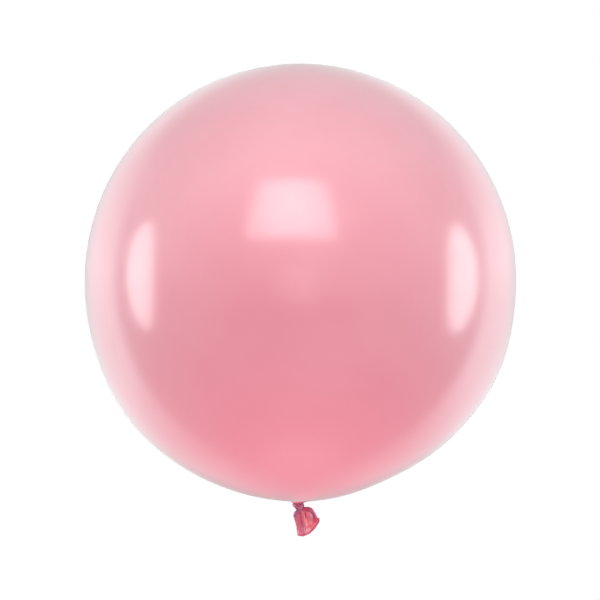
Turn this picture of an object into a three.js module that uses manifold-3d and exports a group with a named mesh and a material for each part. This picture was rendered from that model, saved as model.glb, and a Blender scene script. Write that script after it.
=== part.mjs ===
// A round latex party balloon, inflated to 600 mm and tied with an overhand knot.
// Millimetres, +Z up through the crown, with the tail leaning towards +X. The origin is on the
// balloon's axis, where the gathered skin enters the knot and a ribbon is tied.
// The whole balloon is one dipped latex skin. It is built here as the stretches of that skin
// that look and move differently, each with a small gap to the next.
import * as THREE from "three";
import { mergeVertices } from "three/addons/utils/BufferGeometryUtils.js";
import Module from "manifold-3d";

const GAP = 0.3;

// The inflated envelope
const BODY_RADIUS = 300;
const BASE_DEPTH = 308; // from the widest place down to the neck: the base is slightly fuller
const POLE_HEIGHT = 1.8; // lowest point of the envelope's curve, above the origin
const EQUATOR_HEIGHT = POLE_HEIGHT + BASE_DEPTH;
const OPENING_RADIUS = 12.3;
const STRETCHED_SKIN = 0.02; // wall at the belly, where latex is stretched most
const CROWN_SKIN = 0.12; // wall at the crown, where the dipped latex dripped and set thicker
const CROWN_SPREAD = 8; // how fast the thick spot thins out: a power of the latitude's sine

// The gathered neck: a pleated ring, then a funnel that closes down to the knot. Both turn about
// the origin like balls, so each lies in its own range of distances from it.
const GATHER_OUTER = [OPENING_RADIUS - GAP, 2.1]; // radius and height of the upper edge
const GATHER_INNER = [8.3, 1.5];
const GATHER_WALL = 0.8;
const THROAT_MOUTH = [GATHER_INNER[0] - GAP, 1.4];
const THROAT_FOOT = [4.2, -1.5];
const THROAT_WALL = 1.2;
const PLEATS = 10;
const PLEAT_DEPTH = 0.35;

// The tail's stem is bunched latex that turns like a ball in a cup under the knot
const STEM = new THREE.Vector3(0.3, 0, -9.9);
const STEM_RADIUS = 2.2;
const CUP_RADIUS = STEM_RADIUS + 0.35;

// The overhand knot: a pinched core with one turn of the neck wrapped round it
const CORE = new THREE.Vector3(-0.6, 0, -5.8);
const CORE_SIZE = new THREE.Vector3(4.8, 4.8, 4); // half extents of an ellipsoid
const LOOP = new THREE.Vector3(-2.2, 0, -4.5);
const LOOP_RADIUS = 5.5;
const LOOP_THICKNESS = 2.1; // radius of the wrapped strand
const LOOP_LEAN = THREE.MathUtils.degToRad(14); // higher on the -X side

// The tail: the uninflated end of the neck, a soft flattened funnel. Distances along it are
// counted from the centre of its stem.
const TAIL_LEAN = THREE.MathUtils.degToRad(27);
const SKIRT_START = 1.8;
const SKIRT_END = 25.3;
const SKIRT_ROOT_RADIUS = 2.4;
const MOUTH_HALF_WIDTH = 17.5;
const MOUTH_HALF_DEPTH = 5.5;
const SHOULDER = 5; // how quickly the skirt widens below the knot: a power
const SKIRT_WALL = 0.5; // unstretched latex, about twice its real thickness
const LIP_BULGE = 3.5; // how far the middle of each lip reaches past its corners
const MOUTH_SLANT = Math.tan(THREE.MathUtils.degToRad(15)); // the +X corner is nearer the knot
const RIM_RADIUS = 1.25; // the rolled bead on the mouth
const RIM_AT = SKIRT_END + 2.5 * GAP + RIM_RADIUS; // the slant narrows the gap at the corners

// Facets
const BODY_SEGMENTS = 48;
const BODY_RINGS = 18;
const PLEATED_SEGMENTS = 4 * PLEATS;
const FUNNEL_RINGS = 4;
const BALL_SEGMENTS = 16;
const BALL_RINGS = 10;
const KNOT_SEGMENTS = 24;
const TUBE_SEGMENTS = 8;
const SKIRT_SEGMENTS = 32;
const SKIRT_RINGS = 8;

const wasm = await Module();
wasm.setup();

const latex = {
  stretched: new THREE.MeshStandardMaterial({ color: 0xf2a3b1, roughness: 0.3, metalness: 0 }),
  relaxed: new THREE.MeshStandardMaterial({ color: 0xd9566b, roughness: 0.4, metalness: 0 }),
};

function piece(name, geometry, material) {
  const mesh = new THREE.Mesh(geometry, material);
  mesh.name = name;
  return mesh;
}

// Moves every vertex of a geometry by a rule that is given its position and changes it.
function reshape(geometry, rule) {
  const positions = geometry.getAttribute("position");
  const vertex = new THREE.Vector3();
  for (let i = 0; i < positions.count; i += 1) {
    vertex.fromBufferAttribute(positions, i);
    rule(vertex);
    positions.setXYZ(i, vertex.x, vertex.y, vertex.z);
  }
  geometry.computeVertexNormals();
  return geometry;
}

// Turns a profile of [radius, height] pairs about the Z axis.
function latheAboutZ(profile, segments) {
  const points = profile.map(([radius, height]) => new THREE.Vector2(radius, height));
  return new THREE.LatheGeometry(points, segments).rotateX(Math.PI / 2);
}

function shares(count) {
  return Array.from({ length: count + 1 }, (_, i) => i / count);
}

function solidFrom(geometry) {
  const bare = geometry.clone().deleteAttribute("normal").deleteAttribute("uv");
  const merged = mergeVertices(bare, 1e-4);
  return new wasm.Manifold(
    new wasm.Mesh({
      numProp: 3,
      vertProperties: merged.getAttribute("position").array,
      triVerts: new Uint32Array(merged.index.array),
    }),
  );
}

function geometryFrom(solid) {
  const { vertProperties, triVerts } = solid.getMesh();
  const geometry = new THREE.BufferGeometry();
  geometry.setAttribute("position", new THREE.BufferAttribute(vertProperties, 3));
  geometry.setIndex(new THREE.BufferAttribute(triVerts, 1));
  geometry.computeVertexNormals();
  return geometry;
}

// A sphere above the widest place, and a slightly deeper half ellipsoid below it.
// The latitude runs from -90 degrees at the neck to +90 degrees at the crown.
function envelopePoint(latitude, inset) {
  const depth = latitude < 0 ? BASE_DEPTH : BODY_RADIUS;
  return [
    (BODY_RADIUS - inset) * Math.cos(latitude),
    EQUATOR_HEIGHT + (depth - inset) * Math.sin(latitude),
  ];
}

function skinThickness(latitude) {
  const nearCrown = Math.max(0, Math.sin(latitude)) ** CROWN_SPREAD;
  return STRETCHED_SKIN + (CROWN_SKIN - STRETCHED_SKIN) * nearCrown;
}

// A thin shell, open at the bottom where the gathered neck carries on from it.
function envelope() {
  const lowest = -Math.acos(OPENING_RADIUS / BODY_RADIUS);
  const latitudes = shares(BODY_RINGS).map((t) => lowest + (Math.PI / 2 - lowest) * t);
  const outside = latitudes.map((latitude) => envelopePoint(latitude, 0));
  const inside = latitudes.map((latitude) => envelopePoint(latitude, skinThickness(latitude)));
  outside.at(-1)[0] = 0;
  inside.at(-1)[0] = 0;
  return latheAboutZ([...inside.toReversed(), ...outside], BODY_SEGMENTS);
}

// A quarter of an ellipse from a level outer edge round to an upright inner edge.
function flare([outerRadius, top], [innerRadius, bottom]) {
  return shares(FUNNEL_RINGS).map((t) => [
    outerRadius - (outerRadius - innerRadius) * Math.sin((t * Math.PI) / 2),
    bottom + (top - bottom) * Math.cos((t * Math.PI) / 2),
  ]);
}

// Radial pleats, in heights: the skin ripples up and down as it is drawn in.
function pleated(geometry) {
  return reshape(geometry, (v) => {
    const gathered = 1 - Math.hypot(v.x, v.y) / OPENING_RADIUS;
    v.z += PLEAT_DEPTH * gathered * Math.cos(PLEATS * Math.atan2(v.y, v.x));
  });
}

function neckGather() {
  const lower = flare(GATHER_OUTER, GATHER_INNER);
  const upper = lower.map(([radius, height]) => [radius, height + GATHER_WALL]);
  return pleated(latheAboutZ([...upper, ...lower.toReversed(), upper[0]], PLEATED_SEGMENTS));
}

// Open above and closed below, where the skin is pinched shut.
function throat() {
  const outside = flare(THROAT_MOUTH, THROAT_FOOT);
  const inside = flare(
    [THROAT_MOUTH[0], THROAT_MOUTH[1] + GATHER_WALL],
    [0, THROAT_FOOT[1] + THROAT_WALL],
  );
  const profile = [[0, THROAT_FOOT[1]], ...outside.toReversed(), ...inside];
  return pleated(latheAboutZ(profile, PLEATED_SEGMENTS));
}

function ball(radius) {
  return new THREE.SphereGeometry(radius, BALL_SEGMENTS, BALL_RINGS).rotateX(Math.PI / 2);
}

function loop(thickness) {
  const ring = new THREE.TorusGeometry(LOOP_RADIUS, thickness, TUBE_SEGMENTS, KNOT_SEGMENTS);
  return ring.rotateY(LOOP_LEAN).translate(...LOOP);
}

// Hollowed below by the cup that the stem turns in, and grooved by the loop.
function knotCore() {
  const lump = new THREE.SphereGeometry(1, KNOT_SEGMENTS, BALL_RINGS)
    .rotateX(Math.PI / 2)
    .scale(...CORE_SIZE)
    .translate(...CORE);
  const cup = ball(CUP_RADIUS).translate(...STEM);
  const groove = loop(LOOP_THICKNESS + GAP);
  return geometryFrom(solidFrom(lump).subtract(solidFrom(cup)).subtract(solidFrom(groove)));
}

function skirtHalfWidth(along) {
  const left = THREE.MathUtils.clamp((SKIRT_END - along) / (SKIRT_END - SKIRT_START), 0, 1);
  return MOUTH_HALF_WIDTH - (MOUTH_HALF_WIDTH - SKIRT_ROOT_RADIUS) * left ** SHOULDER;
}

// Round at the root, and pressed nearly flat at the mouth.
function skirtHalfDepth(along) {
  const flatness = THREE.MathUtils.smoothstep(along, SKIRT_START, SKIRT_END / 2);
  const mouthShare = MOUTH_HALF_DEPTH / MOUTH_HALF_WIDTH;
  return skirtHalfWidth(along) * (1 - (1 - mouthShare) * flatness);
}

// Presses a round funnel flat front to back, and gives it curved lips and a slanted mouth.
// The tail hangs along -Z from the origin here.
function pressFlat(v) {
  const along = -v.z;
  const radius = Math.hypot(v.x, v.y);
  const width = skirtHalfWidth(along);
  const depth = skirtHalfDepth(along) + radius - width;
  const down = Math.max(0, along / SKIRT_END) ** 2;
  const across = v.x / width;
  v.y *= depth / radius;
  v.z -= down * (LIP_BULGE * (1 - across ** 2) - MOUTH_SLANT * v.x);
}

function tailSkirt() {
  const stations = shares(SKIRT_RINGS).map((t) => SKIRT_START + (SKIRT_END - SKIRT_START) * t ** 1.5);
  const wall = (inset) => stations.map((along) => [skirtHalfWidth(along) - inset, -along]);
  const outside = wall(0);
  const profile = [...outside.toReversed(), ...wall(SKIRT_WALL), outside.at(-1)];
  return reshape(latheAboutZ(profile, SKIRT_SEGMENTS), pressFlat);
}

// The bead's centre line is pressed flat with the mouth, and the bead keeps its thickness round it.
function rolledRim() {
  const middle = MOUTH_HALF_WIDTH - SKIRT_WALL / 2;
  const ring = new THREE.TorusGeometry(middle, RIM_RADIUS, TUBE_SEGMENTS, SKIRT_SEGMENTS);
  const centre = new THREE.Vector3();
  return reshape(ring.translate(0, 0, -RIM_AT), (v) => {
    const radius = Math.hypot(v.x, v.y);
    centre.set((v.x * middle) / radius, (v.y * middle) / radius, -RIM_AT);
    v.sub(centre);
    pressFlat(centre);
    v.add(centre);
  });
}

const tail = new THREE.Group();
tail.position.copy(STEM);
tail.rotation.y = -TAIL_LEAN;
tail.add(
  piece("tail_stem", ball(STEM_RADIUS), latex.relaxed),
  piece("tail_skirt", tailSkirt(), latex.relaxed),
  piece("rolled_rim", rolledRim(), latex.relaxed),
);

const balloon = new THREE.Group();
balloon.add(
  piece("envelope", envelope(), latex.stretched),
  piece("neck_gather", neckGather(), latex.stretched),
  piece("throat", throat(), latex.relaxed),
  piece("knot_core", knotCore(), latex.relaxed),
  piece("knot_loop", loop(LOOP_THICKNESS), latex.relaxed),
  tail,
);

export default balloon;
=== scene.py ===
"""A knotted round latex balloon floating in a white studio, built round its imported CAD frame.

The skin is modelled in four stretches, as it looks and moves: the inflated envelope, the pleated
throat, the knot, and the flattened tail with its rolled rim. Metres, +Z up, -Y to the front.
"""

import math

import bpy
import numpy as np
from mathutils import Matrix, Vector


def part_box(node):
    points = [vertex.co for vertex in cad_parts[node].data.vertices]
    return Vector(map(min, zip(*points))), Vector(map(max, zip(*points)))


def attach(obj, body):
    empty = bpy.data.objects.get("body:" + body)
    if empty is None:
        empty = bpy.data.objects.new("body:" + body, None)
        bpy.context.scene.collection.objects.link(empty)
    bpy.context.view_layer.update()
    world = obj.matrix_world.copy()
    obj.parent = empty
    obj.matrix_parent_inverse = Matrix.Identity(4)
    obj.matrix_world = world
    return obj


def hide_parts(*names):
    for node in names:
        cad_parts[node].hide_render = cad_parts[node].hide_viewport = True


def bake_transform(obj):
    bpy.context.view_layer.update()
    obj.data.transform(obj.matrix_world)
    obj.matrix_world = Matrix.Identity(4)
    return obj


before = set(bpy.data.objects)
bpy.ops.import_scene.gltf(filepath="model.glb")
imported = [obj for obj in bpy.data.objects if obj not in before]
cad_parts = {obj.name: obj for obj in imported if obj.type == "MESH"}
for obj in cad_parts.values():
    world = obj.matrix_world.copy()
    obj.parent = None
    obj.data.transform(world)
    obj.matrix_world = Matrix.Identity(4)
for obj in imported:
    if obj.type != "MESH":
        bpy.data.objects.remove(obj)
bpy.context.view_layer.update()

MM = 0.001
TURN = 2 * math.pi

# The frame's own measures
body_low, body_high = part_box("envelope")
RADIUS = (body_high.x - body_low.x) / 2
EQUATOR = body_high.z - RADIUS
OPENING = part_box("neck_gather")[1].x  # the radius where the throat takes over from the envelope
BASE_DEPTH = (EQUATOR - body_low.z) / math.sqrt(1 - (OPENING / RADIUS) ** 2)
POLE = EQUATOR - BASE_DEPTH
loop_low, loop_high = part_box("knot_loop")
LOOP_CENTRE = (loop_low + loop_high) / 2
stem_low, stem_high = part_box("tail_stem")
STEM = (stem_low + stem_high) / 2


# ---------------------------------------------------------------- mesh helpers


def smoothstep(x, low, high):
    t = np.clip((x - low) / (high - low), 0, 1)
    return t * t * (3 - 2 * t)


def bump(x, centre, width):
    """A smooth hill of height 1 and the given half width."""
    return np.exp(-(((x - centre) / width) ** 2))


def whole_turn(count):
    return np.arange(count) * TURN / count


def waves(angle, *terms):
    """A sum of sines of an angle. Each term is its height, its waves in a turn, and its phase."""
    return sum(height * np.sin(count * angle + phase) for height, count, phase in terms)


def mesh_object(name, vertices, faces, crowding_and_painted_light):
    """A smooth mesh. Its crowding and painted light at each vertex runs from -1, a painted highlight,
    to 1, where many layers are pressed together, and where painted shade lies in folds and grooves."""
    mesh = bpy.data.meshes.new(name)
    mesh.from_pydata([tuple(v) for v in vertices], [], faces)
    mesh.shade_smooth()
    attribute = mesh.attributes.new("crowding_and_painted_light", "FLOAT", "POINT")
    attribute.data.foreach_set("value", np.clip(crowding_and_painted_light, -1, 1).astype(np.float32))
    thing = bpy.data.objects.new(name, mesh)
    bpy.context.scene.collection.objects.link(thing)
    return thing


def grid_faces(rings, segments, joined=False):
    """Quads between closed rings of points, facing out when the rings climb."""
    faces = []
    for ring in range(rings if joined else rings - 1):
        low = ring * segments
        high = (ring + 1) % rings * segments
        for i in range(segments):
            j = (i + 1) % segments
            faces.append((low + i, low + j, high + j, high + i))
    return faces


def tube_object(name, rings, crowding_and_painted_light, capped=True):
    """A skin through rings of points, an array of rings x segments x 3, with its ends capped."""
    count, segments = rings.shape[:2]
    vertices = list(rings.reshape(-1, 3))
    crowding_and_painted_light = list(np.broadcast_to(crowding_and_painted_light, rings.shape[:2]).ravel())
    faces = grid_faces(count, segments)
    if capped:
        for ring in (0, count - 1):
            hub = len(vertices)
            vertices.append(rings[ring].mean(axis=0))
            crowding_and_painted_light.append(crowding_and_painted_light[ring * segments])
            for i in range(segments):
                near, far = ring * segments + i, ring * segments + (i + 1) % segments
                faces.append((near, far, hub) if ring else (far, near, hub))
    return mesh_object(name, vertices, faces, crowding_and_painted_light)


def loop_object(name, rings, crowding_and_painted_light):
    """A closed ring-shaped skin: its last ring of points joins the first."""
    count, segments = rings.shape[:2]
    faces = grid_faces(count, segments, joined=True)
    return mesh_object(name, list(rings.reshape(-1, 3)), faces, crowding_and_painted_light.ravel())


# ---------------------------------------------------------------- the envelope and the throat

SEGMENTS = 288
BASE_RINGS = 30
BODY_LEVELS = 90
THROAT_RINGS = 14
FOOT_RINGS = 4

# The throat draws the skin in towards the knot.
GATHER_RADIUS = 8.0 * MM  # where the skin goes in under the knot's turn
FLARE_DROP = 2.1 * MM  # how far it is drawn down there
FLARE_WIDTH = 2.0 * MM
FLARE_SHIFT = -3.2 * MM  # the skin goes into the knot a little to the -X side
SHIFT_WIDTH = 4.0 * MM
# The skin next to the knot is darkened, partly as gathered latex and partly as painted shade under the
# knot.
FLARE_CROWDING_AND_SHADE = 0.55
THROAT_FOOT = (3.0 * MM, -2.2 * MM)  # radius and height, inside the knot
BASE_RADIUS = 0.25 * RADIUS  # rings are close together inside this radius, for the pleats

# Pleats are sharp ridges on the outside. The grooves between them lie a share of their depth in.
PLEATS = 19
PLEAT_DEPTH = 0.85 * MM
PLEAT_SHARPNESS = 1.4
PLEAT_WANDER = ((0.5, 2, 0.7), (0.35, 3, 2.1))
PLEAT_STRENGTH = 0.65
PLEAT_STRENGTH_WAVE = (0.35, 5, 1.3)
PLEAT_REACH = 15 * MM  # how far out from the knot they fade
PLEAT_REACH_WAVE = (0.5, 4, 0.4)
GROOVE_SHARE = 0.4
# The grooves between the pleats get painted shade.
GROOVE_SHADE = 0.6

# A balloon is never quite round. Each swell is its direction in degrees, from +X towards +Z, its
# half width in degrees, and how many millimetres it stands out.
SWELLS = ((-140, 20, 3.7), (-25, 13, 3.9), (-66, 13, -3.9), (168, 32, -1.4))

CROWN_SPOT = 14 * MM  # the thicker spot where the dipped latex dripped
CROWN_CROWDING = 0.3


def pleats(angle, radius):
    """Sharp irregular folds that run out from the knot, as a height."""
    fold_angle = PLEATS * angle / 2 + waves(angle, *PLEAT_WANDER)
    ridge = (1 - np.abs(np.sin(fold_angle))) ** PLEAT_SHARPNESS
    strength = PLEAT_STRENGTH + waves(angle, PLEAT_STRENGTH_WAVE)
    reach = PLEAT_REACH * (1 + waves(angle, PLEAT_REACH_WAVE))
    fade = np.exp(-np.maximum(0, radius - GATHER_RADIUS) / reach)
    return PLEAT_DEPTH * strength * (GROOVE_SHARE - ridge) * fade


def swollen(points):
    """Points of the envelope with its uneven swells added."""
    outward = points - np.array([0, 0, EQUATOR])
    outward /= np.linalg.norm(outward, axis=1)[:, None]
    for turn, width, rise in SWELLS:
        towards = np.array([math.cos(math.radians(turn)), 0, math.sin(math.radians(turn))])
        away = np.degrees(np.arccos(np.clip(outward @ towards, -1, 1)))
        points = points + (rise * MM * bump(away, 0, width))[:, None] * outward
    return points


def envelope_ring(radius, height):
    """A ring of the inflated skin with its share of the pleats, and how crowded it is, with painted
    shade in the pleat grooves and next to the knot.
    """
    angle = whole_turn(SEGMENTS)
    beyond = max(0, radius - GATHER_RADIUS)
    nearness = math.exp(-beyond / FLARE_WIDTH)
    folds = pleats(angle, radius)
    shift = FLARE_SHIFT * math.exp(-beyond / SHIFT_WIDTH)
    points = np.stack(
        [
            shift + radius * np.cos(angle),
            radius * np.sin(angle),
            height - FLARE_DROP * nearness + folds,
        ],
        axis=1,
    )
    # Painted shade in the pleat grooves, and partly painted shade next to the knot.
    shaded_grooves = np.clip(folds / PLEAT_DEPTH, 0, 1)
    return swollen(points), FLARE_CROWDING_AND_SHADE * nearness + GROOVE_SHADE * shaded_grooves


def base_height(radius):
    """How high the lower half of the envelope is at a radius. It is half an ellipsoid."""
    return EQUATOR - BASE_DEPTH * math.sqrt(1 - (radius / RADIUS) ** 2)


def envelope_skin():
    """The inflated skin, from its opening at the throat to the thicker spot at its crown."""
    near = np.geomspace(OPENING, BASE_RADIUS, BASE_RINGS)
    first = -math.acos(BASE_RADIUS / RADIUS)
    far = np.linspace(first, math.pi / 2, BODY_LEVELS)[1:-1]
    rings = [envelope_ring(radius, base_height(radius)) for radius in near]
    for latitude in far:
        depth = BASE_DEPTH if latitude < 0 else RADIUS
        radius = RADIUS * math.cos(latitude)
        points, crowding_and_painted_light = envelope_ring(radius, EQUATOR + depth * math.sin(latitude))
        if latitude > 0:
            crowding_and_painted_light = crowding_and_painted_light + CROWN_CROWDING * bump(radius, 0, CROWN_SPOT)
        rings.append((points, crowding_and_painted_light))
    points, crowding_and_painted_light = (np.array(part) for part in zip(*rings))
    return tube_object("envelope_skin", points, crowding_and_painted_light)


def throat_skin():
    """The pleated flare between the envelope and the knot. Its foot goes down inside the knot."""
    radii = np.linspace(GATHER_RADIUS, OPENING, THROAT_RINGS)
    rings = [envelope_ring(radius, base_height(radius)) for radius in radii]
    gathered = rings[0][0]
    foot_radius, foot_height = THROAT_FOOT
    inward = []
    for share in np.linspace(1, 1 / FOOT_RINGS, FOOT_RINGS):
        ring = gathered.copy()
        ring[:, :2] *= 1 + (foot_radius / GATHER_RADIUS - 1) * share
        ring[:, 2] += (foot_height - gathered[:, 2]) * share
        inward.append((ring, np.ones(SEGMENTS)))
    points, crowding_and_painted_light = (np.array(part) for part in zip(*inward, *rings))
    return tube_object("throat_skin", points, crowding_and_painted_light)


# ---------------------------------------------------------------- the knot

# The core's own measures are in millimetres.
CORE_SEGMENTS = 220
CORE_LEVELS = 44
CORE_TOP = 1.2
CORE_WAIST = -9.3
CORE_BOTTOM = STEM.z / MM - 1.6
CORE_RADIUS = 5.8
CORE_CENTRE = 0.1
CORE_SPREAD = 2.7  # how much wider, and further to -X, its pleats are at the envelope

# Its radius closes at its ends like a power of half a sine wave, between two parts of that half.
CORE_CLOSING_POWER = 0.2
CORE_CLOSING_SPAN = (0.1, 0.95)

# Its strands are lobes with grooves between them.
CORE_STRANDS = 11
CORE_TWIST = 0.8
LOBE_ROUNDNESS = 0.55
LOBE_DEPTH = 0.14
# The core is dark, partly as bunched latex and partly as painted shade under the envelope, with more
# painted shade in the grooves between its lobes.
CORE_CROWDING_AND_SHADE = 1.1
LOBE_GROOVE_SHADE = 0.4

# Waves round the core: height, waves in a turn, and how many radians they turn from bottom to top
CORE_UNEVEN = ((0.05, 2, 3), (0.03, 7, 9))
CORE_PATCHES = ((0.15, 2, 5),)


def climbing_waves(angle, level, terms):
    """Waves round a ring that turn as the level climbs from 0 to 1."""
    return waves(angle, *((height, count, climb * level) for height, count, climb in terms))


def knot_core():
    """The bunched pleats of the neck, spread at the envelope and twisted together on the way down."""
    angle = whole_turn(CORE_SEGMENTS)
    first, last = CORE_CLOSING_SPAN
    rings, crowding_and_painted_light = [], []
    for level in np.linspace(0, 1, CORE_LEVELS):
        height = CORE_BOTTOM + (CORE_TOP - CORE_BOTTOM) * level
        spread = CORE_SPREAD * max(0, height - CORE_WAIST) / -CORE_WAIST
        part = min(last, first + (1 - first) * level)
        closing = math.sin(math.pi * part) ** CORE_CLOSING_POWER
        lobes = np.abs(np.sin(CORE_STRANDS * (angle - CORE_TWIST * level) / 2)) ** LOBE_ROUNDNESS
        uneven = 1 + climbing_waves(angle, level, CORE_UNEVEN)
        radius = closing * (1 - LOBE_DEPTH + LOBE_DEPTH * lobes) * uneven
        x = CORE_CENTRE - spread + (CORE_RADIUS + spread) * radius * np.cos(angle)
        y = CORE_RADIUS * radius * np.sin(angle)
        rings.append(np.stack([x, y, np.full_like(angle, height)], axis=1) * MM)
        patches = climbing_waves(angle, level, CORE_PATCHES)
        # Painted shade in the grooves between the lobes.
        crowding_and_painted_light.append(CORE_CROWDING_AND_SHADE - LOBE_GROOVE_SHADE * lobes + patches)
    return tube_object("knot_core_strands", np.array(rings), np.array(crowding_and_painted_light))


# The turn's own measures are in millimetres.
TURN_CENTRE = LOOP_CENTRE + Vector((-0.9, 0, 0.1)) * MM
TURN_REACH = (5.7, 5.3)  # its centre line's half width in X and Y
TURN_HALF_SECTION = (2.4, 3.1)  # out from the core, and up
TURN_SEGMENTS = (160, 72)  # along it, and round its section
TURN_LEAN = math.radians(20)
TURN_RISE_WAVE = (0.5, 2, 0.5)
TURN_SWELL = ((0.12, 1, 2.2), (0.07, 3, 0))
TURN_RIPPLE = (0.02, 9)
TURN_FOLDS = 5
TURN_FOLD_START = 0.4  # an angle round its section
TURN_FOLD_SHARPNESS = 7
TURN_FOLD_DEPTH = 0.2
# The turn is dark, partly as bunched latex and partly as painted shade, with more painted shade in its
# fold grooves.
TURN_CROWDING_AND_SHADE = 0.4
TURN_FOLD_SHADE = 0.7
TURN_PATCHES = (0.25, 2)


def knot_loop():
    """The turn of neck round the core, high on its -X side, folded lengthwise into a few strands."""
    path_angle = whole_turn(TURN_SEGMENTS[0])[:, None]
    section_angle = whole_turn(TURN_SEGMENTS[1])[None, :]
    fold_angle = (TURN_FOLDS * section_angle + path_angle) / 2 + TURN_FOLD_START
    groove = np.abs(np.cos(fold_angle)) ** TURN_FOLD_SHARPNESS
    swell = 1 + waves(path_angle, *TURN_SWELL)
    ripple = waves(path_angle, (*TURN_RIPPLE, 2 * section_angle))
    size = swell * (1 - TURN_FOLD_DEPTH * groove) + ripple
    outward = TURN_HALF_SECTION[0] * size * np.cos(section_angle)
    upward = TURN_HALF_SECTION[1] * size * np.sin(section_angle) + waves(path_angle, TURN_RISE_WAVE)
    level_x = (TURN_REACH[0] + outward) * np.cos(path_angle)
    points = np.stack(
        [
            level_x * math.cos(TURN_LEAN) + upward * math.sin(TURN_LEAN),
            (TURN_REACH[1] + outward) * np.sin(path_angle),
            upward * math.cos(TURN_LEAN) - level_x * math.sin(TURN_LEAN),
        ],
        axis=-1,
    )
    patches = waves(path_angle, (*TURN_PATCHES, section_angle))
    # Painted shade in the fold grooves.
    crowding_and_painted_light = TURN_CROWDING_AND_SHADE + TURN_FOLD_SHADE * groove + patches
    return loop_object("knot_turn_strand", np.array(TURN_CENTRE) + points * MM, crowding_and_painted_light)


# ---------------------------------------------------------------- the tail

# Along is down the tail from its stem, across is towards its +X edge, and out is to its front.
TAIL_LEAN = math.radians(27)
ALONG = np.array([math.sin(TAIL_LEAN), 0, -math.cos(TAIL_LEAN)])
ACROSS = np.array([math.cos(TAIL_LEAN), 0, math.sin(TAIL_LEAN)])
OUT = np.array([0, -1, 0])

# The tail's own measures are in millimetres. Each pair is for its -X edge and its +X edge.
SKIRT_SEGMENTS = 220
SKIRT_LEVELS = 90
SKIN_THICKNESS = 0.5
ROOT_RADIUS = 4.6
SHOULDER_WIDTHS = (12.2, 15.8)
SHOULDER_CENTRES = (4.5, 8.5)
SHOULDER_RISES = (6.2, 9.5)
SHOULDER_SHARPNESS = (1.15, 1.25)
SHOULDER_SHARE = 0.4  # how much of the skin's levels the shoulders take
MOUTH_WIDTHS = (18.5, 16.5)
SIDE_BULGE = (0.5, 0.4, 0.3)  # its height, and the middle and half length of it below the shoulders

# The lip is an arc with its -X corner rounded off and its +X corner drawn up.
LIP_REACH = 33.1
LIP_CURVE = 0.0167
LIP_CENTRE = -7.0
CORNER_CUT = 2.0
CORNER_CUT_SPAN = (12, 18.5)
CORNER_TUCK = 2.2
CORNER_TUCK_WIDTH = 0.04

# The skin is round at its root and flattened lower down, pinched halfway and open at the lip.
SKIRT_DEPTH = 5.0
FLAT_LEVEL = 0.35
PINCH = (1.2, 0.5, 0.3)  # its depth, and the middle and half length of it below the shoulders
LIP_FLARE = 2.1
LIP_FLARE_SPAN = (0.68, 1.06)

# The tail is folded double. The +X panel of its front lies over the -X one.
FOLD_PLACE = 3.2
FOLD_DRIFT = -0.28
OVERLAP = 1.3
OVERLAP_SOFTNESS = 0.9
DOUBLED_WIDTH = 5
DOUBLED_CROWDING = 0.2
# The tail's root is darkened, partly as bunched latex and partly as painted shade under the knot.
ROOT_CROWDING_AND_SHADE = 0.7
ROOT_CROWDING_AND_SHADE_SPAN = (0.05, 0.5)

# Each fold runs down the tail's front, in millimetres: where it is across the tail at the root,
# how far it drifts across per millimetre down, its half width, its height, the middle and the
# half length of its run, and its painted shade, where a negative value is a painted highlight.
SKIRT_FOLDS = {
    "main ridge": (3.6, FOLD_DRIFT, 1.5, 1.8, 22, 40, -0.4),
    "main valley": (-1.2, FOLD_DRIFT, 2.9, -1.2, 20, 40, 0.22),
    "side ridge": (-6.4, FOLD_DRIFT, 2.0, 0.9, 20, 40, 0.0),
    "corner valley": (-8.6, -0.2, 2.2, -0.9, 3, 6, 0.6),
    "short valley": (5.9, -0.3, 1.2, -1.6, 9.5, 5, 0.95),
    "long valley": (12.0, 0.03, 2.9, -2.2, 14.5, 8.5, 1.0),
    "lip swell": (6.6, FOLD_DRIFT, 2.6, 1.5, 30.0, 3.6, -1.1),
    "shoulder crease": (-0.2, 1.45, 1.1, -1.1, 4.5, 3.5, 0.6),
}
FOLDS_GROWN_BY = 7  # how far down the tail the folds reach their full height
FOLD_LOSS = 0.7  # how much of that height is gone at the lip
FOLD_LOSS_SPAN = (0.86, 1.0)
FACE_SHARPNESS = 1.6  # how soon a face's folds set in, from the tail's edges
BACK_FOLD_SHIFT = 2  # the back has the front's folds the other way round, spread out and lower
BACK_FOLD_SPREAD = 0.8
BACK_FOLD_HEIGHT = 0.8


def in_tail(along, across, out):
    """Points of the row frame from tail coordinates in millimetres."""
    along, across, out = (np.asarray(c)[..., None] * MM for c in (along, across, out))
    return np.array(STEM) + along * ALONG + across * ACROSS + out * OUT


def lip_reach(across):
    """How far down the tail its lip is."""
    arc = LIP_REACH - LIP_CURVE * (across - LIP_CENTRE) ** 2
    return arc - CORNER_CUT * smoothstep(-across, *CORNER_CUT_SPAN)


def main_fold(along):
    """Where the tail's main fold is across it. The skin lies double on the -X side of it."""
    return FOLD_PLACE + FOLD_DRIFT * along


def skirt_folds(along, across):
    """Folds of the tail's front, as a height out of its flat surface, and their painted shade and
    painted highlights.
    """
    grown = smoothstep(along, 0, FOLDS_GROWN_BY)
    past_fold = across - main_fold(along)
    height = OVERLAP * smoothstep(past_fold, -OVERLAP_SOFTNESS, OVERLAP_SOFTNESS) * grown
    crowding_and_painted_light = 0
    for place, drift, width, rise, middle, reach, painted_shade in SKIRT_FOLDS.values():
        here = bump(across, place + drift * along, width) * bump(along, middle, reach) * grown
        height = height + rise * here
        crowding_and_painted_light = crowding_and_painted_light + painted_shade * here
    return height, crowding_and_painted_light


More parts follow.
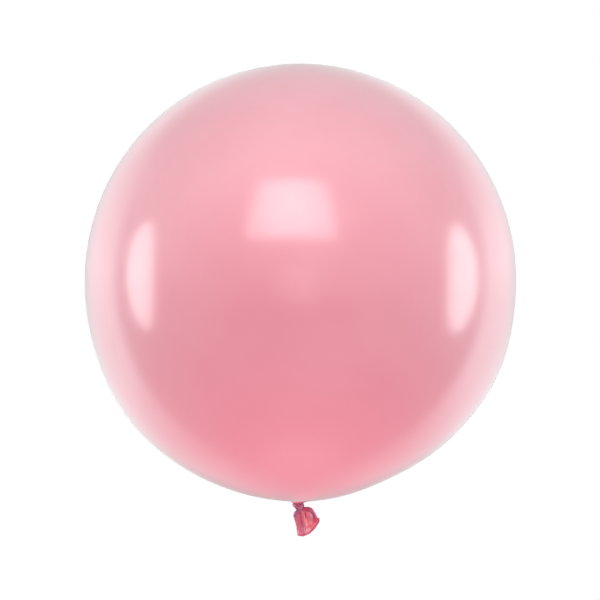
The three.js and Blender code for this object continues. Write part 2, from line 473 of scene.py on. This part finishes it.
def skirt_outline(level, down, side):
    """How far along and across the tail the skin is. Side runs from -1 at its -X edge to 1."""

    def edges(pair):
        return pair[0] + (pair[1] - pair[0]) * (1 + side) / 2

    turn = min(level / SHOULDER_SHARE, 1) * math.pi / 2
    shoulder = edges(SHOULDER_WIDTHS)
    bulge, bulge_middle, bulge_reach = SIDE_BULGE
    reach = ROOT_RADIUS + (shoulder - ROOT_RADIUS) * np.sin(turn) ** edges(SHOULDER_SHARPNESS)
    reach = reach + (edges(MOUTH_WIDTHS) - shoulder) * down
    across = (reach + bulge * bump(down, bulge_middle, bulge_reach) * side) * side
    top = edges(SHOULDER_CENTRES) - edges(SHOULDER_RISES) * math.cos(turn)
    along = top + (lip_reach(across) - top) * down
    return along - CORNER_TUCK * down**4 * bump(1 - side, 0, CORNER_TUCK_WIDTH), across


def skirt_surface(level, angle):
    """Tail coordinates of the outer skin, and its crowding with painted shade and painted highlights,
    from its root at level 0 to its lip at 1.
    """
    down = max(0, (level - SHOULDER_SHARE) / (1 - SHOULDER_SHARE))
    along, across = skirt_outline(level, down, np.cos(angle))

    flat = smoothstep(level, 0, FLAT_LEVEL)
    front = np.clip(np.sin(angle) * FACE_SHARPNESS, 0, 1)
    back = np.clip(-np.sin(angle) * FACE_SHARPNESS, 0, 1)
    front_folds, front_painted_light = skirt_folds(along, across)
    back_folds, back_painted_light = skirt_folds(along, BACK_FOLD_SHIFT - BACK_FOLD_SPREAD * across)
    folds = front_folds * front - BACK_FOLD_HEIGHT * back_folds * back
    strength = flat * (1 - FOLD_LOSS * smoothstep(down, *FOLD_LOSS_SPAN))
    pinch, pinch_middle, pinch_reach = PINCH
    depth = ROOT_RADIUS + (SKIRT_DEPTH - ROOT_RADIUS) * flat
    depth = depth - pinch * bump(down, pinch_middle, pinch_reach)
    depth = depth + LIP_FLARE * smoothstep(down, *LIP_FLARE_SPAN)
    out = depth * np.sin(angle) + folds * strength

    root = 1 - smoothstep(level, *ROOT_CROWDING_AND_SHADE_SPAN)
    doubled = smoothstep(main_fold(along) - across, 0, DOUBLED_WIDTH) * (front + back)
    crowding_and_painted_light = front_painted_light * front + back_painted_light * back
    crowding_and_painted_light = crowding_and_painted_light + ROOT_CROWDING_AND_SHADE * root + DOUBLED_CROWDING * doubled
    return along, across, out, crowding_and_painted_light


def tail_skirt():
    """The tail's thin two-sided skin, open at its root and its mouth."""
    angle = whole_turn(SKIRT_SEGMENTS)
    rings, crowding_and_painted_light = [], []
    for level in np.linspace(1, 0, SKIRT_LEVELS):
        along, across, out, layers_and_painted_light = skirt_surface(level, angle)
        rings.append(in_tail(along, across, out))
        crowding_and_painted_light.append(layers_and_painted_light)
    skirt = tube_object("tail_skirt_skin", np.array(rings), np.array(crowding_and_painted_light), capped=False)
    thickness = skirt.modifiers.new("wall", "SOLIDIFY")
    thickness.thickness = SKIN_THICKNESS * MM
    thickness.offset = -1
    return skirt


STRAND_SEGMENTS = 64
STRAND_RINGS = 16
STRAND_SPAN = (4.0, -3.5)  # along the tail, in millimetres
STRAND_RADIUS = 3.0
STRAND_FOLDS = 8
STRAND_TWIST = 1 / 7  # radians in a millimetre
STRAND_FOLD_SHARPNESS = 4
STRAND_FOLD_DEPTH = 0.12
STRAND_CROWDING = 0.8


def tail_stem():
    """The bunched strand from inside the knot to the tail's root."""
    angle = whole_turn(STRAND_SEGMENTS)
    rings = []
    for along in np.linspace(*STRAND_SPAN, STRAND_RINGS):
        fold_angle = STRAND_FOLDS * angle / 2 + STRAND_TWIST * along
        groove = np.abs(np.cos(fold_angle)) ** STRAND_FOLD_SHARPNESS
        radius = STRAND_RADIUS * (1 - STRAND_FOLD_DEPTH * groove)
        level = np.full_like(angle, along)
        rings.append(in_tail(level, radius * np.cos(angle), radius * np.sin(angle)))
    return tube_object("tail_stem_strand", np.array(rings), STRAND_CROWDING)


# The bead is a little wider than the mouth it is rolled from. Millimetres, and angles in radians.
BEAD_SEGMENTS = (240, 28)  # along it, and round its section
BEAD_RADIUS = 1.2
BEAD_SHIFTS = (0.3, 0.8)  # towards +X, at the mouth's -X edge and at its +X edge
BEAD_SPREAD = 1.06
BEAD_UNEVEN = ((0.06, 5, 0), (0.05, 11, 1))
BEAD_CROWDING = 0.35
STEP_PLACE = 4.2  # where the roll's outer layer ends, round the bead's section
STEP_DEPTH = 0.12
STEP_WIDTH = 0.25
# Painted shade along the roll's step.
STEP_SHADE = 0.4
STEP_SHADE_WIDTH = 0.4


def rolled_rim():
    """The bead rolled from the mouth's edge, with the roll's step showing along it."""
    angle = whole_turn(BEAD_SEGMENTS[0])
    section_angle = whole_turn(BEAD_SEGMENTS[1])
    along, across, out = skirt_surface(1.0, angle)[:3]
    minus_shift, plus_shift = BEAD_SHIFTS
    shift = minus_shift * np.maximum(-np.cos(angle), 0) + plus_shift * np.maximum(np.cos(angle), 0)
    line = in_tail(along + BEAD_RADIUS / 2, across + shift, out * BEAD_SPREAD)
    tangent = np.roll(line, -1, axis=0) - np.roll(line, 1, axis=0)
    tangent /= np.linalg.norm(tangent, axis=1)[:, None]
    down = ALONG - (tangent @ ALONG)[:, None] * tangent
    down /= np.linalg.norm(down, axis=1)[:, None]
    side = np.cross(tangent, down)
    step = 1 - STEP_DEPTH * bump(section_angle, STEP_PLACE, STEP_WIDTH)
    radius = BEAD_RADIUS * MM * (1 + waves(angle, *BEAD_UNEVEN))[:, None] * step
    rings = (
        line[:, None]
        + (radius * np.cos(section_angle))[..., None] * down[:, None]
        + (radius * np.sin(section_angle))[..., None] * side[:, None]
    )
    # The bead is darker as rolled layers, with painted shade along the roll's step.
    layers_and_painted_light = BEAD_CROWDING + STEP_SHADE * bump(section_angle, STEP_PLACE, STEP_SHADE_WIDTH)
    return loop_object("rolled_rim_bead", rings, np.broadcast_to(layers_and_painted_light, radius.shape))


# ---------------------------------------------------------------- shader helpers

# A Mix node's colour sockets come after its number and vector sockets.
MIX_FIRST, MIX_SECOND, MIX_RESULT = 6, 7, 2


def noise_of(tree, coordinates, scale, detail):
    node = tree.nodes.new("ShaderNodeTexNoise")
    node.inputs["Scale"].default_value = scale
    node.inputs["Detail"].default_value = detail
    tree.links.new(coordinates, node.inputs["Vector"])
    return node.outputs["Fac"]


def mapped(tree, value, given, wanted):
    """The value with the given range mapped onto the wanted one, and held at its ends."""
    node = tree.nodes.new("ShaderNodeMapRange")
    for side, end in enumerate(("Min", "Max")):
        node.inputs["From " + end].default_value = given[side]
        node.inputs["To " + end].default_value = wanted[side]
    tree.links.new(value, node.inputs["Value"])
    return node.outputs["Result"]


def mixed_colour(tree, factor, first, second):
    """The first colour at factor 0 and the second at 1. Each is a tuple or a socket."""
    node = tree.nodes.new("ShaderNodeMix")
    node.data_type = "RGBA"
    tree.links.new(factor, node.inputs["Factor"])
    for place, colour in ((MIX_FIRST, first), (MIX_SECOND, second)):
        if isinstance(colour, tuple):
            node.inputs[place].default_value = (*colour, 1)
        else:
            tree.links.new(colour, node.inputs[place])
    return node.outputs[MIX_RESULT]


def maths(tree, operation, first, second):
    node = tree.nodes.new("ShaderNodeMath")
    node.operation = operation
    for socket, value in zip(node.inputs, (first, second)):
        if isinstance(value, float):
            socket.default_value = value
        else:
            tree.links.new(value, socket)
    return node.outputs[0]


def product(tree, first, *others):
    for other in others:
        first = maths(tree, "MULTIPLY", first, other)
    return first


def axes_of(tree, vector):
    node = tree.nodes.new("ShaderNodeSeparateXYZ")
    tree.links.new(vector, node.inputs[0])
    return node.outputs


# The crowding attribute, which also carries painted shade and painted highlights.
def crowding_and_painted_light_of(tree):
    node = tree.nodes.new("ShaderNodeAttribute")
    node.attribute_name = "crowding_and_painted_light"
    return node.outputs["Fac"]


def add_bump(tree, shader, height, strength, distance):
    node = tree.nodes.new("ShaderNodeBump")
    node.inputs["Strength"].default_value = strength
    node.inputs["Distance"].default_value = distance
    tree.links.new(height, node.inputs["Height"])
    tree.links.new(node.outputs["Normal"], shader.inputs["Normal"])


# ---------------------------------------------------------------- materials

LATEX_IOR = 1.52
COOL_WHITE = (0.94, 1.0, 1.0)  # of the bloom, and of the ceiling that the skin mirrors

# Each noise is its scale and its detail. Ranges are of a noise, or of what the noise sets.
STRETCHED_COLOUR = (0.83, 0.290, 0.358)
STRETCHED_PALE = (0.85, 0.315, 0.384)
STRETCHED_CLOUDS = (9.0, 3.0)
STRETCHED_CLOUD_RANGE = (0.35, 0.65)
LOWER_DEEP_AND_SHADED_COLOUR = (0.86, 0.250, 0.322)  # the lower skin: deeper partly because it is less stretched, and partly painted shade
LOWER_SHADE_LEVELS = (POLE + 0.05 * RADIUS, POLE + 0.75 * RADIUS)  # from all of that colour to none
# The colour of gathered skin and of the thicker crown spot, and of the painted shade in the pleat
# grooves and next to the knot.
GATHERED_AND_SHADED_COLOUR = (0.66, 0.10, 0.19)
STRETCHED_STREAKS = (60.0, 4.0)
STRETCHED_ROUGHNESS = (0.17, 0.22)
BLOOM = 0.8
BLOOM_ROUGHNESS = 0.35
STRETCHED_GRAIN = (420.0, 2.0)
STRETCHED_GRAIN_STRENGTH = 0.05
STRETCHED_GRAIN_HEIGHT = 0.05 * MM

RELAXED_COLOUR = (0.76, 0.134, 0.178)
# The colour of the painted highlights on the tail's ridge and lip swell.
PAINTED_HIGHLIGHT_COLOUR = (0.90, 0.44, 0.50)
# The colour of crowded layers and of painted shade in folds, grooves and creases.
CROWDED_AND_SHADED_COLOUR = (0.24, 0.036, 0.15)
RELAXED_CLOUDS = (220.0, 3.0)
RELAXED_CLOUD_DEPTH = (-0.15, 0.25)
RELAXED_WRINKLES = (700.0, 5.0)
RELAXED_ROUGHNESS = (0.16, 0.32)
RELAXED_BLOOM = 0.1
WRINKLE_STRENGTH = 0.35
WRINKLE_HEIGHT = 0.15 * MM
NOISE_RANGE = (0.3, 0.7)  # where most of a noise lies

PAPER_SHADES = ((0.93, 0.93, 0.93), (0.96, 0.96, 0.96))
PAPER_FIBRES = (40.0, 3.0)
PAPER_ROUGHNESS = 0.9


def blank_material(name):
    material = bpy.data.materials.new(name)
    material.use_nodes = True
    shader = material.node_tree.nodes["Principled BSDF"]
    shader.inputs["IOR"].default_value = LATEX_IOR
    coordinates = material.node_tree.nodes.new("ShaderNodeTexCoord").outputs["Object"]
    return material, material.node_tree, shader, coordinates


def stretched_latex():
    """Glossy skin with a pale bloom and faint clouds. It is deeper low down, partly as less stretched
    latex and partly as painted shade, and darker where it is gathered, with painted shade in its pleat
    grooves and next to the knot.
    """
    material, tree, shader, coordinates = blank_material("stretched_latex")
    noise = noise_of(tree, coordinates, *STRETCHED_CLOUDS)
    clouds = mapped(tree, noise, STRETCHED_CLOUD_RANGE, (0.0, 1.0))
    mottled = mixed_colour(tree, clouds, STRETCHED_COLOUR, STRETCHED_PALE)
    lower_shade = mapped(tree, axes_of(tree, coordinates)["Z"], LOWER_SHADE_LEVELS, (1.0, 0.0))
    deepened_and_shaded = mixed_colour(tree, lower_shade, mottled, LOWER_DEEP_AND_SHADED_COLOUR)
    colour = mixed_colour(tree, crowding_and_painted_light_of(tree), deepened_and_shaded, GATHERED_AND_SHADED_COLOUR)
    tree.links.new(colour, shader.inputs["Base Color"])
    streaks = noise_of(tree, coordinates, *STRETCHED_STREAKS)
    roughness = mapped(tree, streaks, NOISE_RANGE, STRETCHED_ROUGHNESS)
    tree.links.new(roughness, shader.inputs["Roughness"])
    shader.inputs["Sheen Weight"].default_value = BLOOM
    shader.inputs["Sheen Roughness"].default_value = BLOOM_ROUGHNESS
    shader.inputs["Sheen Tint"].default_value = (*COOL_WHITE, 1)
    grain = noise_of(tree, coordinates, *STRETCHED_GRAIN)
    add_bump(tree, shader, grain, STRETCHED_GRAIN_STRENGTH, STRETCHED_GRAIN_HEIGHT)
    return material


def relaxed_latex():
    """Unstretched satin skin with fine wrinkles. It takes painted highlights along the tail's ridge
    and lip swell, and is darkest where layers crowd together and where painted shade lies in folds and
    grooves."""
    material, tree, shader, coordinates = blank_material("relaxed_latex")
    noise = noise_of(tree, coordinates, *RELAXED_CLOUDS)
    clouds = mapped(tree, noise, NOISE_RANGE, RELAXED_CLOUD_DEPTH)
    layers_and_painted_light = maths(tree, "ADD", crowding_and_painted_light_of(tree), clouds)
    # Above zero the attribute shows layers and painted shade; below zero it shows painted highlights.
    depth = mapped(tree, layers_and_painted_light, (0.0, 1.0), (0.0, 1.0))
    painted_highlight = mapped(tree, layers_and_painted_light, (-1.0, 0.0), (1.0, 0.0))
    single = mixed_colour(tree, painted_highlight, RELAXED_COLOUR, PAINTED_HIGHLIGHT_COLOUR)
    colour = mixed_colour(tree, depth, single, CROWDED_AND_SHADED_COLOUR)
    tree.links.new(colour, shader.inputs["Base Color"])
    wrinkles = noise_of(tree, coordinates, *RELAXED_WRINKLES)
    roughness = mapped(tree, wrinkles, NOISE_RANGE, RELAXED_ROUGHNESS)
    tree.links.new(roughness, shader.inputs["Roughness"])
    shader.inputs["Sheen Weight"].default_value = RELAXED_BLOOM
    add_bump(tree, shader, wrinkles, WRINKLE_STRENGTH, WRINKLE_HEIGHT)
    return material


def floor_paper():
    """Matt white paper with faint fibres."""
    material, tree, shader, coordinates = blank_material("white_paper")
    fibres = noise_of(tree, coordinates, *PAPER_FIBRES)
    tree.links.new(mixed_colour(tree, fibres, *PAPER_SHADES), shader.inputs["Base Color"])
    shader.inputs["Roughness"].default_value = PAPER_ROUGHNESS
    shader.inputs["Specular IOR Level"].default_value = 0.0
    return material


# ---------------------------------------------------------------- assembly


def assemble():
    """The seven visual pieces. Four ride on their bodies, and the throat, stem and skirt stay where
    they are built.
    """
    stretched = stretched_latex()
    relaxed = relaxed_latex()

    def dress(piece, material, slot, *nodes):
        piece.data.materials.append(material)
        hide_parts(*nodes)
        return piece

    envelope = dress(envelope_skin(), stretched, "stretched_latex", "envelope")
    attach(envelope, "envelope")
    throat = dress(throat_skin(), stretched, "stretched_latex", "neck_gather", "throat")
    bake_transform(throat)
    core = dress(knot_core(), relaxed, "relaxed_latex", "knot_core")
    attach(core, "knot")
    loop = dress(knot_loop(), relaxed, "relaxed_latex", "knot_loop")
    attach(loop, "knot")
    stem = dress(tail_stem(), relaxed, "relaxed_latex", "tail_stem")
    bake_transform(stem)
    skirt = dress(tail_skirt(), relaxed, "relaxed_latex", "tail_skirt")
    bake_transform(skirt)
    rim = dress(rolled_rim(), relaxed, "relaxed_latex", "rolled_rim")
    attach(rim, "tail")


# ---------------------------------------------------------------- studio

FLOOR_HEIGHT = -0.9
FLOOR_RADIUS = 8.0
FLOOR_BEVEL = 0.02
FLOOR_SEGMENTS = 96

# Where a light's shade is given, it is how white the light makes a white surface that faces it.
FLOOR_SHADE = 0.33
DOME_SHADE = 0.68
WASH_SIZE = 2.5 * FLOOR_RADIUS
WASH_HEIGHT = 0.3

# The tent that the skin mirrors. A range is of one part of a unit direction: how far it points
# up, back or sideways.
CEILING_RADIANCE = 5.0
CEILING_RANGE = (-0.33, 1.0)
CEILING_BACK_SHARE = 0.155  # the share of its light that is left at the back
FRONT_WALL_RADIANCE = 1.5
FRONT_WALL_BACK = (-0.9, 0.0)
FRONT_WALL_TOP = (0.1, 0.9)
BACK_WALL_RADIANCE = 3.2
BACK_WALL_START = (0.34, 0.47)
BACK_WALL_BACK = (0.5, 1.0)
BACK_WALL_FAR_RADIANCE = 0.1
BACK_WALL_TOP = (0.1, 0.65)
BACK_WALL_MIDDLE = (0.0, 0.3)
BACK_WALL_MIDDLE_SHARE = 0.1
FLOOR_EDGE = (-0.9, -0.35)
WALL_WHITE = (0.82, 1.0, 1.0)

# What the camera sees behind the balloon is white, and a little less so to the sides.
BACKDROP_SIDE = 0.93
BACKDROP_EDGE = (0.8, 0.97)

# Lights are placed round the middle of the balloon, by azimuth from the viewer and elevation.
BALLOON_CENTRE = Vector((0, 0, EQUATOR))
LIGHT_WHITE = (1, 1, 1)
SOFTBOX_WHITE = (0.84, 1.0, 0.97)
FULL_SPREAD = 180
SOFTBOX_SPREAD = 179

# The window is a stack of strips that narrow and dim upwards. Angles are in degrees.
WINDOW_ROWS = 6
WINDOW_AZIMUTH = -4.6
WINDOW_ELEVATION = 33.4
WINDOW_HALF_WIDTH = 24.1
WINDOW_HALF_HEIGHT = 15.7
WINDOW_DISTANCE = 1.8
WINDOW_RADIANCE = 8.7
WINDOW_SPREAD = 84
WINDOW_TAPER = 0.45
WINDOW_TAPER_START = -0.25  # a share of its height, from its middle
WINDOW_DIMMING = 0.3

# Azimuth, elevation, half width and half height in degrees, distance in metres, and radiance
SIDE_SOFTBOXES = {
    "left_softbox": (-92.5, 2, 10.6, 20.5, 2.0, 6.7),
    "right_softbox": (94.5, 1, 12.2, 20.5, 2.0, 6.6),
}

# Azimuth and elevation in degrees, distance and size in metres, and shade
FILLS = {
    "front_fill": (0, -5, 2.2, 0.8, 0.375),
    "low_fill": (180, -87, 0.8, 0.5, 0.66),
    "back_left_fill": (-130, 10, 2.2, 0.8, 0.45),
    "back_right_fill": (130, 10, 2.2, 0.8, 0.45),
}

CAMERA_DISTANCE = 3.6
CAMERA_ELEVATION = -3.5
FRAME_HEIGHT = 0.8352  # what the picture spans at the balloon
FRAME_CENTRE = 0.2815  # height above the tie point that the picture centres on
SENSOR = 36.0


def floor():
    """A white paper disc with a softly rounded edge. The skin doesn't mirror it or take its light."""
    angle = whole_turn(FLOOR_SEGMENTS)
    rings = []
    profile = ((FLOOR_RADIUS, -FLOOR_BEVEL), (FLOOR_RADIUS - FLOOR_BEVEL, 0), (FLOOR_RADIUS / 2, 0))
    for radius, height in profile:
        level = np.full(FLOOR_SEGMENTS, FLOOR_HEIGHT + height)
        rings.append(np.stack([radius * np.cos(angle), radius * np.sin(angle), level], axis=1))
    paper = tube_object("studio_floor", np.array(rings), 0.0)
    paper.data.materials.append(floor_paper())
    paper.visible_glossy = False
    paper.visible_diffuse = False


def direction(azimuth, elevation):
    """A unit vector from the balloon: azimuth 0 points at the viewer, and 90 to +X."""
    a, e = math.radians(azimuth), math.radians(elevation)
    return Vector((math.sin(a) * math.cos(e), -math.cos(a) * math.cos(e), math.sin(e)))


def lamp(name, location, towards, size, power, glossy, shape="RECTANGLE", spread=FULL_SPREAD):
    """An area light that the camera doesn't see. A glossy one is only mirrored in the skin, and
    any other only shades it."""
    light = bpy.data.lights.new(name, "AREA")
    light.shape = shape
    light.size, light.size_y = size
    light.energy = power
    light.color = SOFTBOX_WHITE if glossy else LIGHT_WHITE
    light.spread = math.radians(spread)
    thing = bpy.data.objects.new(name, light)
    thing.location = location
    thing.rotation_euler = towards.to_track_quat("Z", "Y").to_euler()
    thing.visible_camera = False
    thing.visible_diffuse = not glossy
    thing.visible_glossy = glossy
    bpy.context.scene.collection.objects.link(thing)


def softbox(name, azimuth, elevation, half_width, half_height, distance, radiance, shape, spread):
    """A light seen mirrored in the skin. Its angles are those of the rays that reach it from there."""
    towards = direction(azimuth, elevation)
    mirror_point = BALLOON_CENTRE + RADIUS * (towards + direction(0, CAMERA_ELEVATION)).normalized()
    size = [2 * distance * math.tan(math.radians(half)) for half in (half_width, half_height)]
    half_spread = math.radians(spread) / 2
    focus = math.tan(half_spread) / (math.tan(half_spread) - half_spread)
    area = size[0] * size[1] * (math.pi / 4 if shape == "ELLIPSE" else 1)
    power = radiance * math.pi * area / focus
    lamp(name, mirror_point + towards * distance, towards, size, power, True, shape, spread)


def window():
    """The big softbox above the viewer."""
    half_height = WINDOW_HALF_HEIGHT / WINDOW_ROWS
    for row in range(WINDOW_ROWS):
        up = (row + 0.5) / WINDOW_ROWS - 0.5
        elevation = WINDOW_ELEVATION + 2 * WINDOW_HALF_HEIGHT * up
        half_width = WINDOW_HALF_WIDTH * (1 - WINDOW_TAPER * max(0, up - WINDOW_TAPER_START))
        softbox(
            "window_softbox",
            WINDOW_AZIMUTH,
            elevation,
            half_width,
            half_height,
            WINDOW_DISTANCE,
            WINDOW_RADIANCE * (1 - WINDOW_DIMMING * max(0, up)),
            "RECTANGLE",
            WINDOW_SPREAD,
        )


def fill(name, azimuth, elevation, distance, size, shade):
    """A light for shading only."""
    towards = direction(azimuth, elevation)
    power = shade * (math.pi * distance) ** 2
    lamp(name, BALLOON_CENTRE + towards * (RADIUS + distance), towards, (size, size), power, False)


def floor_wash():
    """A wide light just over the floor that evens it out."""
    power = FLOOR_SHADE * math.pi * WASH_SIZE**2
    location = (0, 0, FLOOR_HEIGHT + WASH_HEIGHT)
    lamp("floor_wash", location, Vector((0, 0, 1)), (WASH_SIZE, WASH_SIZE), power, False)


def tent(tree, axes):
    """How strongly the ceiling and the walls of the tent shine in a direction."""
    back, up = axes["Y"], axes["Z"]
    sideways = maths(tree, "ABSOLUTE", axes["X"], 0.0)
    ceiling = product(
        tree,
        mapped(tree, up, CEILING_RANGE, (0.0, CEILING_RADIANCE)),
        mapped(tree, back, CEILING_RANGE, (1.0, CEILING_BACK_SHARE)),
    )
    behind = mapped(tree, back, BACK_WALL_START, (0.0, 1.0))
    front_wall = product(
        tree,
        maths(tree, "SUBTRACT", 1.0, behind),
        mapped(tree, back, FRONT_WALL_BACK, (0.0, FRONT_WALL_RADIANCE)),
        mapped(tree, up, FRONT_WALL_TOP, (1.0, 0.0)),
    )
    back_wall = product(
        tree,
        behind,
        mapped(tree, back, BACK_WALL_BACK, (BACK_WALL_RADIANCE, BACK_WALL_FAR_RADIANCE)),
        mapped(tree, up, BACK_WALL_TOP, (1.0, 0.0)),
        mapped(tree, sideways, BACK_WALL_MIDDLE, (BACK_WALL_MIDDLE_SHARE, 1.0)),
    )
    above_floor = mapped(tree, up, FLOOR_EDGE, (0.0, 1.0))
    return ceiling, product(tree, above_floor, maths(tree, "ADD", front_wall, back_wall))


def studio_world():
    """White to the camera, a dim dome for shading, and a graded tent for reflections."""
    world = bpy.data.worlds.new("white_studio")
    bpy.context.scene.world = world
    world.use_nodes = True
    tree = world.node_tree
    tree.nodes.clear()
    axes = axes_of(tree, tree.nodes.new("ShaderNodeTexCoord").outputs["Generated"])
    rays = tree.nodes.new("ShaderNodeLightPath").outputs

    def background(strength, colour=LIGHT_WHITE):
        node = tree.nodes.new("ShaderNodeBackground")
        node.inputs["Color"].default_value = (*colour, 1)
        if isinstance(strength, float):
            node.inputs["Strength"].default_value = strength
        else:
            tree.links.new(strength, node.inputs["Strength"])
        return node.outputs[0]

    def joined(kind, *inputs):
        node = tree.nodes.new(kind)
        for socket, value in zip(node.inputs, inputs):
            tree.links.new(value, socket)
        return node.outputs[0]

    ceiling, walls = tent(tree, axes)
    reflected = joined(
        "ShaderNodeAddShader", background(ceiling, COOL_WHITE), background(walls, WALL_WHITE)
    )
    dome = background(DOME_SHADE)
    shading = joined("ShaderNodeMixShader", rays["Is Glossy Ray"], dome, reflected)
    backdrop = background(mapped(tree, axes["Y"], BACKDROP_EDGE, (BACKDROP_SIDE, 1.0)))
    shown = joined("ShaderNodeMixShader", rays["Is Camera Ray"], shading, backdrop)
    output = tree.nodes.new("ShaderNodeOutputWorld")
    tree.links.new(shown, output.inputs[0])


def camera():
    """The camera of the picture, a little lower than the balloon and looking slightly up."""
    data = bpy.data.cameras.new("camera")
    data.sensor_width = SENSOR
    data.lens = SENSOR * CAMERA_DISTANCE / FRAME_HEIGHT
    eye = bpy.data.objects.new("camera", data)
    towards = direction(0, CAMERA_ELEVATION)
    eye.location = Vector((0, 0, FRAME_CENTRE)) + towards * CAMERA_DISTANCE
    eye.rotation_euler = towards.to_track_quat("Z", "Y").to_euler()
    bpy.context.scene.collection.objects.link(eye)
    bpy.context.scene.camera = eye


def studio():
    """The floor, the tent round the balloon, its lights, and how their colours are shown."""
    floor()
    studio_world()
    window()
    for name, measures in SIDE_SOFTBOXES.items():
        softbox(name, *measures, "ELLIPSE", SOFTBOX_SPREAD)
    for name, measures in FILLS.items():
        fill(name, *measures)
    floor_wash()
    bpy.context.scene.view_settings.view_transform = "Standard"


camera()
assemble()
studio()
